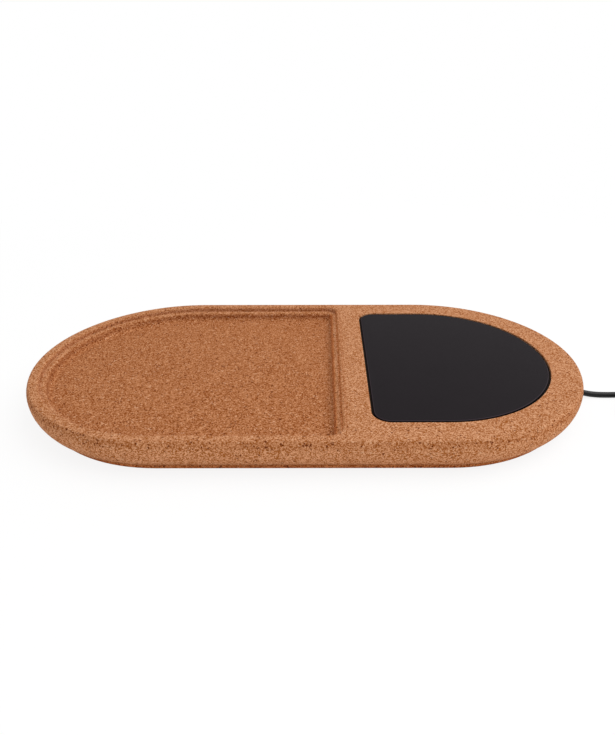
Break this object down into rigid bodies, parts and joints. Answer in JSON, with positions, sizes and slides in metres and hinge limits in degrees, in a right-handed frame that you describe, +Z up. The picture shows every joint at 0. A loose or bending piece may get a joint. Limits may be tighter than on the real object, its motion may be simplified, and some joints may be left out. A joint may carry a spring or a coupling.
{
  "type": "charging station organizer",
  "caption": "Round-ended pressed cork desk tray with a stepped storage pocket on the left and a flush wireless charging pad on the right, fed by a thin cable at its right end.",
  "frame": {"origin": "middle of the tray's underside, on the desk", "axes": "+X along the tray towards the charging pad and the cable, +Y to the back, +Z up"},
  "size_m": [0.3528, 0.1663, 0.018],
  "materials": {
    "cork_body": "pressed fine-grain cork, matt, light and dark granules",
    "cork_base": "cork sheet, matt",
    "glue": "cured glue film",
    "pad": "charcoal soft skin, matt",
    "charger_case": "moulded, fine texture",
    "steel": "plated",
    "tape": "double-sided tape",
    "foam": "closed-cell foam",
    "copper": "enamelled stranded copper wire",
    "ferrite": "sintered ferrite",
    "shield": "thin sheet",
    "board": "glass-fibre laminate with solder mask",
    "chip": "moulded package",
    "ceramic_parts": "ceramic with tinned ends",
    "lead_wire": "insulated wire",
    "cable": "smooth jacket, satin",
    "tie": "coated wire tie",
    "plug_plastic": "moulded, fine texture",
    "contact": "gold plated"
  },
  "bodies": {
    "root": {"tray_body": "cork_body", "base_sheet": "cork_base", "base_glue": "glue", "pad_skin": "pad", "pad_glue": "glue", "case_top": "charger_case", "case_bottom": "charger_case", "case_screws": "steel", "module_tape": "tape", "module_foam": "foam", "transmit_coil": "copper", "coil_leads": "copper", "ferrite_sheet": "ferrite", "shield_plate": "shield", "board_spacer": "foam", "circuit_board": "board", "control_chip": "chip", "bridge_transistors": "chip", "resonant_capacitors": "ceramic_parts", "input_inductor": "ferrite", "clock_crystal": "shield", "chip_capacitors": "ceramic_parts", "cable_bush": "cable", "held_cable": "cable", "power_leads": "lead_wire", "cord_run": "cable", "cord_coil": "cable", "cord_tail": "cable", "cord_tie": "tie", "plug_grip": "plug_plastic", "plug_shell": "steel", "plug_tongue": "plug_plastic", "plug_contacts": "contact"}
  },
  "joints": []
}
